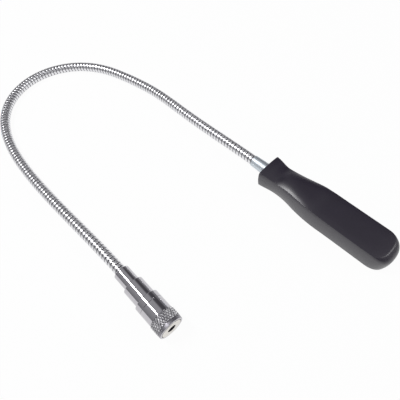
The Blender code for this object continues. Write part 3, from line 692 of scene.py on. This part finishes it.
# The round wire's section is a rounded square of this power, and the filler wire's top is flat over this
# share of its width.
WIRE_SQUARENESS = 6.0
FILLER_FLAT = 0.8
FILLER_CHAMFER = 0.1 * MM


def gooseneck_knots(lead, head):
    """Return the points that the gooseneck's centre line passes: its ends, and each joint between them."""
    joints = [Vector(joint["pos_m"]) for joint in NECK_JOINTS]
    end, axis = head_line(head)
    return [FERRULE_FRONT + HANDLE_AXIS * lead, FERRULE_FRONT, *joints, end, end + axis * lead]


def gooseneck_route(knots):
    """Return close points on a smooth line through the knots, and how far along it each knot lies."""
    ahead, behind = [*knots[1:], knots[-1]], [knots[0], *knots[:-1]]
    steps = zip(behind, knots, ahead)
    spans = [(knot - last).length + (after - knot).length for last, knot, after in steps]
    slopes = [(after - last) / span for last, after, span in zip(behind, ahead, spans)]
    points, places = [knots[0]], [0.0]
    for index, (knot, after) in enumerate(zip(knots, knots[1:])):
        reach = (after - knot).length / 3
        handles = knot + slopes[index] * reach, after - slopes[index + 1] * reach
        stretch = interpolate_bezier(knot, *handles, after, ROUTE_STEPS)
        places.append(places[-1] + sum((b - a).length for a, b in zip(stretch, stretch[1:])))
        points += stretch[1:]
    return points, places


def point_along(points, place):
    """Return the point at a place along a line of close points."""
    for first, last in zip(points, points[1:]):
        step = (last - first).length
        if place <= step:
            break
        place -= step
    return first.lerp(last, place / step)


def flatten(value):
    """Push a sine or cosine outwards, so that a round section gets flatter faces."""
    return abs(value) ** (2 / WIRE_SQUARENESS) * (1 if value > 0 else -1)


class PICKUP_OT_gooseneck(Operator):
    """Wind the two wires of the gooseneck, in one piece for each joint, along the line of the joints"""

    bl_idname = "pickup_tool.add_gooseneck"
    bl_label = "Add Gooseneck"
    bl_options = {"REGISTER", "UNDO"}

    def execute(self, context):
        neck = context.scene.pickup_gooseneck
        # Round steel wire, pressed flat on top as it was wound, with nickel plate: white metal with a soft
        # shine, so that the tops of the turns run together into one bright line.
        nickel = make_finish(
            "bright nickel plate on round wire", (neck.wire_dark, neck.wire_light), patch=2.2,
            roughness=(0.28, 0.34), grain=1.2, dent=0.0001,
        )
        # Rolled three-sided steel wire with thin plate: glossy, and painted dark as the shade in the grooves
        # between the turns.
        # It lies nearly flush between the turns, and shows as dark ticks at the sides of the neck.
        steel = make_finish(
            "filler wire painted dark as groove shade", (neck.filler_dark, neck.filler_light), patch=1.4,
            roughness=(0.17, 0.22), grain=1.0, dent=0.0001,
        )
        points, places = gooseneck_route(gooseneck_knots(neck.lead, context.scene.pickup_head))
        guide = self.add_guide(context, points)
        crest = neck.diameter / 2
        middle = crest - neck.wire / 2
        wire = [
            (neck.wire_width / 2 * flatten(cos(angle)), middle + neck.wire / 2 * flatten(sin(angle)))
            for angle in angles_round(neck.wire_steps)
        ]
        top, offset, half = crest - neck.filler_sunk, neck.pitch / 2, neck.filler_width / 2
        shoulder, flat = top - FILLER_CHAMFER, half * FILLER_FLAT
        filler = [
            (offset - half, shoulder), (offset - flat, top), (offset + flat, top),
            (offset + half, shoulder), (offset, top - neck.filler_depth),
        ]
        middles = [(a + b) / 2 for a, b in zip(places[2:], places[3:-2])]
        bounds = [places[1], *middles, places[-2]]
        for number, joint in enumerate(NECK_JOINTS, 1):
            first, last = bounds[number - 1], bounds[number]
            start = 0.0 if number == 1 else first
            end = places[-1] if number == len(NECK_JOINTS) else last
            pieces = [
                wind(f"neck_filler_{number:02d}", filler, start, end, neck.pitch, neck.turn_steps),
                wind(f"neck_coil_{number:02d}", wire, start, end, neck.pitch, neck.turn_steps),
            ]
            for piece, material in zip(pieces, (steel, nickel)):
                piece.data.materials.append(material)
                piece.select_set(True)
            bpy.ops.object.join()
            piece = context.object
            apply_modifier(piece, "CURVE", object=guide, deform_axis="POS_X")
            bpy.ops.object.shade_smooth_by_angle(angle=SMOOTH_ANGLE)
            point_along(points, first)
            point_along(points, last)
            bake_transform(piece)
            nodes = [f"neck_link_{number:02d}"] + (["neck_link_00"] if number == 1 else [])
            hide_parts(*nodes)
        bpy.data.objects.remove(guide)
        return {"FINISHED"}

    def add_guide(self, context, points):
        """Add the curve that the wires are bent along."""
        curve = bpy.data.curves.new("gooseneck_line", "CURVE")
        curve.dimensions = "3D"
        curve.twist_mode = "Z_UP"
        spline = curve.splines.new("POLY")
        spline.points.add(len(points) - 1)
        for target, point in zip(spline.points, points):
            target.co = (*point, 1.0)
        guide = bpy.data.objects.new("gooseneck_line", curve)
        context.scene.collection.objects.link(guide)
        return guide


def chrome_plate(head):
    """Return the finish of the head's turned steel.

    Chrome plate on turned steel: a bright, sharp shine, with faint rings left by the lathe, which are drawn
    coarser than real ones so that they show.
    """
    name = "chrome plate on turned steel"
    return bpy.data.materials.get(name) or make_finish(
        name, (head.chrome_dark, head.chrome_light), patch=(1.6, ENDLESS, ENDLESS),
        roughness=(0.06, 0.10), grain=(0.8, ENDLESS, ENDLESS), dent=0.00005, azimuth=HEAD_AZIMUTH,
    )


class PICKUP_OT_sleeve_and_barrel(Operator):
    """Turn the two fixed steps of the head: the sleeve and the battery barrel with its collar"""

    bl_idname = "pickup_tool.add_sleeve_and_barrel"
    bl_label = "Add Sleeve and Barrel"
    bl_options = {"REGISTER", "UNDO"}

    def execute(self, context):
        head = context.scene.pickup_head
        line, chrome = head_line(head), chrome_plate(head)
        bore, outer, spigot = head.sleeve_bore / 2, head.sleeve_diameter / 2, head.spigot_diameter / 2
        bottom = context.scene.pickup_gooseneck.lead + CLEARANCE
        sleeve = (
            (bottom, 0.0), (bottom, bore), (0.0, bore), (0.0, outer), (head.sleeve_end, outer),
            (head.sleeve_end, spigot), (head.spigot_end, spigot), (head.spigot_end, 0.0),
        )
        add_turned("head_sleeve", sleeve, chrome, line, "head", "chrome_plate", "neck_sleeve", edge=0.3 * MM)

        start, socket = head.sleeve_end + CLEARANCE, spigot + CLEARANCE
        floor = head.spigot_end + CLEARANCE
        outer, collar = head.barrel_diameter / 2, head.cap_diameter / 2
        thread, chamber = head.thread_diameter / 2, head.chamber_diameter / 2
        barrel = (
            (floor, 0.0), (floor, socket), (start, socket), (start, outer), (head.collar_start, outer),
            (head.collar_start, collar), (head.collar_end, collar), (head.collar_end, thread),
            (head.thread_end, thread), (head.thread_end, chamber), (head.chamber_start, chamber),
            (head.chamber_start, 0.0),
        )
        add_turned(
            "head_barrel", barrel, chrome, line, "head", "chrome_plate", "battery_barrel",
            edge=0.25 * MM, steps=TURNED_STEPS,
        )
        return {"FINISHED"}


# Steps of the mesh for each point round the band, and the length of the slope at each end of the band.
KNURL_STEPS = 2
KNURL_EDGE = 0.6 * MM
KNURL_HEIGHT = "knurl_height"
EDGE_BREAK = 0.06 * MM
# The order of the cap's finishes.
CAP_PLAIN, CAP_ROLLED, CAP_PAINTED_DARK_LIP = range(3)


class PICKUP_OT_twist_cap(Operator):
    """Turn the twist cap, and raise the diamond knurling on its band"""

    bl_idname = "pickup_tool.add_twist_cap"
    bl_label = "Add Twist Cap"
    bl_options = {"REGISTER", "UNDO"}

    def execute(self, context):
        head = context.scene.pickup_head
        outer, lip, bore = head.cap_diameter / 2, head.lip_diameter / 2, head.cap_bore / 2
        hole, pocket = head.lamp_hole / 2, head.magnet_pocket / 2
        root = head.knurl_diameter / 2 - head.knurl_depth
        profile = [(head.cap_start, bore), (head.cap_start, outer), (head.knurl_start, outer)]
        profile += [(head.knurl_start, root), (head.knurl_end, root), (head.knurl_end, lip)]
        profile += quarter_arc(head.lip_end - head.lip_radius, lip - head.lip_radius, head.lip_radius)
        profile += [(head.lip_end, pocket), (head.web_end, pocket), (head.web_end, hole)]
        profile += [(head.web_start, hole), (head.web_start, bore)]
        piece = turn("head_twist_cap", profile, head.knurl_columns * KNURL_STEPS)
        break_edges(piece, EDGE_BREAK)
        self.knurl(piece, head, root)
        lay(piece, head_line(head), chrome_plate(head))
        # Chrome plate on rolled points: its tone follows the height of the knurl. Painted shade and some old
        # oil darken the grooves, and painted glints whiten the points.
        rolled = make_finish(
            "chrome plate on rolled points with painted shade and glints", hex_tones("#86848A", "#FFFFFF"), patch=KNURL_HEIGHT,
            roughness=(0.34, 0.42), grain=0.3, dent=0.002,
        )
        # Chrome plate on the turned lip: painted darker as a painted dark reflection, and softer in its
        # shine.
        painted_dark_lip = make_finish(
            "turned lip painted dark", hex_tones("#908E94", "#9E9CA2"), patch=(1.6, ENDLESS, ENDLESS),
            roughness=(0.40, 0.48), grain=(0.8, ENDLESS, ENDLESS), dent=0.00005, azimuth=HEAD_AZIMUTH,
        )
        for material in (rolled, painted_dark_lip):
            piece.data.materials.append(material)
        hang(piece, "cap", "chrome_plate", "twist_cap")
        return {"FINISHED"}

    def knurl(self, piece, head, root):
        """Cut the band into rings, raise staggered rows of points on them and mark the faces' finishes."""
        start, end = head.knurl_start + KNURL_EDGE, head.knurl_end - KNURL_EDGE
        rings = head.knurl_rows - 1
        bpy.ops.object.mode_set(mode="EDIT")
        for ring in range(rings + 1):
            bpy.ops.mesh.select_all(action="SELECT")
            place = start + (end - start) * ring / rings
            bpy.ops.mesh.bisect(plane_co=(place, 0.0, 0.0), plane_no=(1.0, 0.0, 0.0))
        bpy.ops.object.mode_set(mode="OBJECT")
        band = {
            vertex.index for vertex in piece.data.vertices
            if start - NEAR < vertex.co.x < end + NEAR and abs(vertex.co.yz.length - root) < NEAR
        }
        # The height of each point. The rolled finish also reads it to paint shade in the grooves and glints
        # on the points.
        heights = piece.data.attributes.new(KNURL_HEIGHT, "FLOAT", "POINT").data
        for vertex in piece.data.vertices:
            if vertex.index in band:
                along = pi * rings * (vertex.co.x - start) / (end - start)
                around = head.knurl_columns * vertex.co.yz.angle_signed(Vector((0.0, 1.0)))
                height = 0.5 - 0.5 * cos(along) * cos(around)
                heights[vertex.index].value = height
                vertex.co.yz *= (root + head.knurl_depth * height) / root
        first, last = head.knurl_start + EDGE_BREAK - NEAR, head.knurl_end - EDGE_BREAK + NEAR
        select_points(piece, lambda vertex: first < vertex.co.x < last and vertex.co.yz.length > root - NEAR)
        bpy.ops.mesh.quads_convert_to_tris(quad_method="SHORTEST_DIAGONAL")
        bpy.ops.object.mode_set(mode="OBJECT")
        lip = head.lip_diameter / 2
        # Faces on the lip take the finish that is painted dark as a painted reflection.
        for face in piece.data.polygons:
            on_lip = face.center.x > head.knurl_end and abs(face.center.yz.length - lip) < EDGE_BREAK
            face.material_index = CAP_PAINTED_DARK_LIP if on_lip else CAP_ROLLED if face.select else CAP_PLAIN


LAMP_FLANGE_DEPTH = 1.0 * MM
CONTACT_BACK = 0.9 * MM


class PICKUP_OT_magnet_and_lamp(Operator):
    """Turn the ring magnet, the lamp behind its hole, the lamp's holder and the disc that feeds it"""

    bl_idname = "pickup_tool.add_magnet_and_lamp"
    bl_label = "Add Magnet and Lamp"
    bl_options = {"REGISTER", "UNDO"}

    def execute(self, context):
        head = context.scene.pickup_head
        line = head_line(head)
        # Sintered magnet with satin nickel plate: pale and warm, with a soft wide shine.
        satin = make_finish(
            "satin nickel plate on sintered magnet", (head.magnet_dark, head.magnet_light), patch=3.0,
            roughness=(0.32, 0.42), grain=0.4, dent=0.004,
        )
        # Sintered metal in the hole: painted dark grey as painted shade so that the hole looks deep, and dull
        # in its shine.
        dull = make_finish(
            "magnet bore painted with shade", hex_tones("#504E51", "#5C5A5D"), patch=2.0,
            roughness=(0.50, 0.60), grain=0.4, dent=0.004,
        )
        outer, hole = head.magnet_diameter / 2, head.lamp_hole / 2
        back, front = head.magnet_back, head.magnet_face
        ring = ((back, hole), (back, outer), (front, outer), (front, hole))
        piece = turn("head_ring_magnet", ring, TURNED_STEPS)
        break_edges(piece, width=0.25 * MM)
        # Faces in the hole take the second finish, whose dark grey is painted shade.
        for face in piece.data.polygons:
            face.material_index = int(face.center.yz.length < hole + EDGE_BREAK)
        lay(piece, line, satin)
        piece.data.materials.append(dull)
        hang(piece, "cap", "magnet_nickel", "ring_magnet")

        # Cast epoxy with a smoke tint: it lets a little light through, and has a hard gloss.
        epoxy = make_finish(
            "smoke-tinted cast epoxy", hex_tones("#404346", "#4C4F52"), patch=2.0, roughness=(0.03, 0.07),
            grain=0.8, dent=0.001, sockets={"IOR": 1.54, "Transmission Weight": 1.0},
        )
        radius, flange, seat = head.lamp_diameter / 2, head.lamp_flange / 2, head.lamp_seat
        rim = seat + LAMP_FLANGE_DEPTH
        lamp = [(seat, 0.0), (seat, flange), (rim, flange), (rim, radius)]
        lamp += quarter_arc(head.lamp_tip - radius, 0.0, radius)[:-1] + [(head.lamp_tip, 0.0)]
        add_turned("head_lamp", lamp, epoxy, line, "cap", "lamp_epoxy", "lamp", edge=0.1 * MM)

        # Moulded nylon: black and matt, so that the hole in front of the lamp looks dark.
        nylon = make_finish(
            "moulded black nylon", hex_tones("#161618", "#1E1E20"), patch=4.0, roughness=(0.42, 0.55),
            grain=0.5, dent=0.004, sockets={"IOR": 1.53},
        )
        pocket, outer, end = flange + CLEARANCE, head.cap_bore / 2 - CLEARANCE, head.web_start - CLEARANCE
        shoulder = rim + CLEARANCE
        holder = (
            (seat, pocket), (seat, outer), (end, outer), (end, hole), (shoulder, hole), (shoulder, pocket)
        )
        add_turned(
            "head_lamp_holder", holder, nylon, line, "cap", "holder_plastic", "lamp_holder", edge=0.15 * MM
        )

        # Stamped brass sheet: yellow metal, half bright, slightly stained.
        brass = make_finish(
            "stamped brass", hex_tones("#B9924A", "#D9BE80"), patch=1.5,
            roughness=(0.22, 0.36), grain=0.4, dent=0.003,
        )
        contact, back, front = head.contact_diameter / 2, seat - CONTACT_BACK, seat - CLEARANCE
        disc = ((back, 0.0), (back, contact), (front, contact), (front, 0.0))
        add_turned(
            "head_contact_disc", disc, brass, line, "cap", "contact_brass", "contact_disc", edge=0.1 * MM
        )
        return {"FINISHED"}


CELL_RIM, CELL_STEP, CELL_WALL = 1.2 * MM, 0.5 * MM, 0.35 * MM
SPRING_TURNS = 3
SPRING_TURN_STEPS = 32
SPRING_WIRE_STEPS = 12


class PICKUP_OT_cells(Operator):
    """Turn the button cells and their liner, and wind the contact spring behind them"""

    bl_idname = "pickup_tool.add_cells"
    bl_label = "Add Cells and Spring"
    bl_options = {"REGISTER", "UNDO"}

    def execute(self, context):
        head = context.scene.pickup_head
        line = head_line(head)
        # Pressed stainless steel cans: grey white metal with a brushed, half bright face.
        stainless = make_finish(
            "pressed stainless steel", hex_tones("#B0B0AE", "#C8C8C6"), patch=2.5,
            roughness=(0.20, 0.32), grain=0.3, dent=0.002,
        )
        radius, pole = head.cell_diameter / 2, head.cell_diameter / 2 - CELL_RIM
        for number in range(head.cell_count):
            back = head.cells_start + number * (head.cell_height + CLEARANCE)
            step, front = back + CELL_STEP, back + head.cell_height
            cell = (
                (back, 0.0), (back, pole), (step, pole + CELL_WALL), (step, radius), (front, radius),
                (front, 0.0),
            )
            name = f"button_cell_{number + 1}"
            add_turned(f"head_{name}", cell, stainless, line, "head", "cell_steel", name, edge=0.2 * MM)

        # Rolled sheet of clear polyester: faintly grey, glossy, hardly tinted.
        polyester = make_finish(
            "rolled clear polyester", hex_tones("#CFCFC8", "#DADAD4"), patch=5.0, roughness=(0.18, 0.30),
            grain=0.8, dent=0.003, sockets={"IOR": 1.57},
        )
        inner, outer = radius + CLEARANCE, head.chamber_diameter / 2 - CLEARANCE
        start, end = head.chamber_start + CLEARANCE, head.thread_end - CLEARANCE
        liner = ((start, inner), (start, outer), (end, outer), (end, inner))
        add_turned(
            "head_cell_liner", liner, polyester, line, "head", "liner_plastic", "cell_liner", edge=0.08 * MM
        )

        # Hard-drawn spring wire with thin nickel: dark grey metal, half bright.
        spring_wire = make_finish(
            "hard-drawn spring wire", hex_tones("#8A8A8C", "#A6A6A8"), patch=1.0,
            roughness=(0.20, 0.32), grain=0.3, dent=0.002,
        )
        size = head.spring_wire / 2
        middle = head.spring_diameter / 2 - size
        angles = angles_round(SPRING_WIRE_STEPS)
        section = [(size * cos(angle), middle + size * sin(angle)) for angle in angles]
        start, end = start + size, head.cells_start - CLEARANCE - size
        pitch = (end - start) / SPRING_TURNS
        piece = wind("head_cell_spring", section, start, end, pitch, SPRING_TURN_STEPS)
        lay(piece, line, spring_wire)
        hang(piece, "head", "spring_steel", "cell_spring")
        return {"FINISHED"}


WHITE = hex_colour("#FFFFFF")
SENSOR_WIDTH = 36.0
NEAREST_SEEN = 10.0 * MM
# The floor and the softboxes are placed and sized in metres.
FLOOR_SIZE = 6.0
LEFT_PLACE, LEFT_SIZE = Vector((-0.523, 0.056, 0.824)), (0.40, 0.11)
RIGHT_PLACE, RIGHT_SIZE = Vector((1.00, 0.00, 0.80)), (0.40, 0.40)
# The room is dark in two directions, which the bright metal shows as its dark bands. Each begins at the
# wider angle from its direction, and is at its darkest inside the narrower one.
DARK_SIDE = Vector((0.47, 0.66, 0.588)).normalized()
DARK_BACK = Vector((-0.50, 0.60, 0.62)).normalized()
DARK_EDGE, DARK_CORE = radians(28.0), radians(12.0)


def ray_kinds(tree):
    """Return whether the camera sees a ray, plainly or through glass, and whether it is a reflection."""
    rays = add_node(tree, "ShaderNodeLightPath").outputs
    inputs = {0: rays["Is Camera Ray"], 1: rays["Is Transmission Ray"]}
    seen = add_node(tree, "ShaderNodeMath", inputs, operation="ADD", use_clamp=True).outputs[0]
    return seen, rays["Is Glossy Ray"]


class PICKUP_OT_stage(Operator):
    """Set the camera, the pale floor, the softboxes and the white room"""

    bl_idname = "pickup_tool.add_stage"
    bl_label = "Add Stage"
    bl_options = {"REGISTER", "UNDO"}

    def execute(self, context):
        stage = context.scene.pickup_stage
        context.scene.view_settings.view_transform = "Standard"
        target = Vector(stage.target)
        back = Vector((0.0, -cos(stage.elevation), sin(stage.elevation)))
        clear_selection()
        bpy.ops.object.camera_add(
            location=target + back * stage.distance, rotation=(pi / 2 - stage.elevation, 0.0, 0.0)
        )
        camera = named("picture_camera")
        camera.data.lens = stage.focal_length
        camera.data.sensor_width = SENSOR_WIDTH
        camera.data.clip_start = NEAREST_SEEN
        context.scene.camera = camera

        self.add_floor(stage)
        self.add_softbox("left_softbox", LEFT_PLACE, target, LEFT_SIZE, stage.left_power)
        self.add_softbox("right_softbox", RIGHT_PLACE, target, RIGHT_SIZE, stage.right_power)
        self.add_room(context, stage)
        return {"FINISHED"}

    def add_floor(self, stage):
        """Add the floor: white to the camera and in reflections, and still taking the tool's shadow."""
        bpy.ops.mesh.primitive_plane_add(size=FLOOR_SIZE)
        floor = named("studio_floor")
        # Painted board: matt and white, with no pattern of its own.
        material = bpy.data.materials.new("matt white board")
        material.use_nodes = True
        tree = material.node_tree
        tree.nodes.remove(tree.nodes["Principled BSDF"])
        seen, mirrored = ray_kinds(tree)
        inputs = {0: mirrored, 1: stage.floor_shine}
        shine = add_node(tree, "ShaderNodeMath", inputs, operation="MULTIPLY").outputs[0]
        inputs = {0: seen, 1: stage.floor_white, 2: shine}
        fade = add_node(tree, "ShaderNodeMath", inputs, operation="MULTIPLY_ADD").outputs[0]
        matt = add_node(tree, "ShaderNodeBsdfDiffuse", {"Color": hex_colour("#F2F2F2")}).outputs["BSDF"]
        glow = add_node(tree, "ShaderNodeEmission", {"Color": WHITE, "Strength": 1.0}).outputs["Emission"]
        mix = add_node(tree, "ShaderNodeMixShader", {0: fade, 1: matt, 2: glow}).outputs["Shader"]
        tree.links.new(mix, tree.nodes["Material Output"].inputs["Surface"])
        floor.data.materials.append(material)

    def add_softbox(self, name, place, target, size, power):
        """Add a softbox that faces the tool, with its long side along the head."""
        clear_selection()
        back = (place - target).normalized()
        side = (HEAD_AXIS - back * HEAD_AXIS.dot(back)).normalized()
        facing = Matrix((side, back.cross(side), back)).transposed()
        bpy.ops.object.light_add(type="AREA", location=place, rotation=facing.to_euler())
        light = named(name).data
        light.shape = "RECTANGLE"
        light.size, light.size_y = size
        light.energy = power

    def add_room(self, context, stage):
        """Light the room softly from overhead, and show it white behind the floor."""
        room = bpy.data.worlds.new("white studio")
        room.use_nodes = True
        tree = room.node_tree
        direction = add_node(tree, "ShaderNodeTexCoord").outputs["Generated"]
        height = add_node(tree, "ShaderNodeSeparateXYZ", {"Vector": direction}).outputs["Z"]
        inputs = {"Fac": height, "Color1": stage.room_low, "Color2": stage.room_light}
        shade = add_node(tree, "ShaderNodeMixRGB", inputs).outputs["Color"]
        turned = [
            add_node(tree, "ShaderNodeVectorMath", {0: direction, 1: way}, operation="DOT_PRODUCT")
            for way in (DARK_SIDE, DARK_BACK)
        ]
        inputs = {index: node.outputs["Value"] for index, node in enumerate(turned)}
        facing = add_node(tree, "ShaderNodeMath", inputs, operation="MAXIMUM").outputs[0]
        inputs = {"Value": facing, "From Min": cos(DARK_EDGE), "From Max": cos(DARK_CORE)}
        dark = add_node(tree, "ShaderNodeMapRange", inputs, interpolation_type="SMOOTHSTEP").outputs["Result"]
        inputs = {"Fac": dark, "Color1": shade, "Color2": stage.room_dark}
        soft = tree.nodes["Background"]
        tree.links.new(add_node(tree, "ShaderNodeMixRGB", inputs).outputs["Color"], soft.inputs["Color"])
        white = add_node(tree, "ShaderNodeBackground", {"Color": WHITE, "Strength": 1.0})
        inputs = {0: ray_kinds(tree)[0], 1: soft.outputs["Background"], 2: white.outputs["Background"]}
        mix = add_node(tree, "ShaderNodeMixShader", inputs).outputs["Shader"]
        tree.links.new(mix, tree.nodes["World Output"].inputs["Surface"])
        context.scene.world = room


class PICKUP_PT_panel(Panel):
    """Lists the tool's pieces and stage, with the sizes and colours that they use"""

    bl_idname = "PICKUP_PT_panel"
    bl_label = "Magnetic Pickup Tool"
    bl_space_type = "VIEW_3D"
    bl_region_type = "UI"
    bl_category = "Pickup Tool"

    def draw(self, context):
        for operator in OPERATORS:
            self.layout.operator(operator.bl_idname)
        for name, group in GROUPS.items():
            box = self.layout.box()
            box.label(text=name.replace("_", " ").title())
            for setting in group.__annotations__:
                box.prop(getattr(context.scene, name), setting)


GROUPS = {
    "pickup_handle": PickupHandle,
    "pickup_gooseneck": PickupGooseneck,
    "pickup_head": PickupHead,
    "pickup_stage": PickupStage,
}
OPERATORS = (
    PICKUP_OT_stage,
    PICKUP_OT_handle,
    PICKUP_OT_ferrule,
    PICKUP_OT_gooseneck,
    PICKUP_OT_sleeve_and_barrel,
    PICKUP_OT_twist_cap,
    PICKUP_OT_magnet_and_lamp,
    PICKUP_OT_cells,
)
CLASSES = (*GROUPS.values(), *OPERATORS, PICKUP_PT_panel)


def register():
    """Register the classes, and give the scene its settings."""
    for cls in CLASSES:
        bpy.utils.register_class(cls)
    for name, group in GROUPS.items():
        setattr(bpy.types.Scene, name, PointerProperty(type=group))


def unregister():
    """Take the settings and the classes away again."""
    for name in GROUPS:
        delattr(bpy.types.Scene, name)
    for cls in reversed(CLASSES):
        bpy.utils.unregister_class(cls)


def main():
    register()
    bpy.ops.pickup_tool.add_stage()
    bpy.ops.pickup_tool.add_handle()
    bpy.ops.pickup_tool.add_ferrule()
    bpy.ops.pickup_tool.add_gooseneck()
    bpy.ops.pickup_tool.add_sleeve_and_barrel()
    bpy.ops.pickup_tool.add_twist_cap()
    bpy.ops.pickup_tool.add_magnet_and_lamp()
    bpy.ops.pickup_tool.add_cells()


if __name__ == "__main__":
    main()
